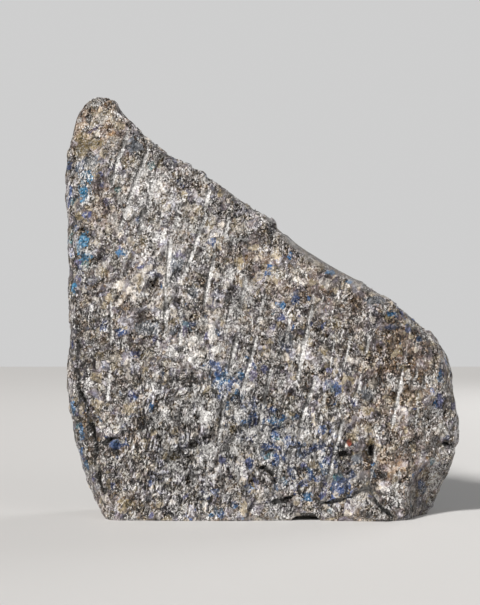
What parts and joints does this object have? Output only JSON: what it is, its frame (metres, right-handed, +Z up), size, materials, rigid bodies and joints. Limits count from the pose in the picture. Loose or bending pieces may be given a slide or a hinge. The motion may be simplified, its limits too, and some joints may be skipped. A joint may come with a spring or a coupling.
{
  "type": "labradorite freeform",
  "caption": "Upright slab of natural labradorite rock, broken on the near side, domed and polished on the far side, sawn flat at the bottom so that it stands.",
  "frame": {"origin": "on the sawn base, under the middle of the stone", "axes": "+Z up from the base, +X along the slab towards its low round shoulder, +Y through the slab towards the polished face"},
  "size_m": [0.3816, 0.1068, 0.4092],
  "materials": {
    "labradorite": "rough broken grey rock with blue flashes, polished on the far side"
  },
  "bodies": {
    "root": {"labradorite_stone": "labradorite"}
  },
  "joints": []
}
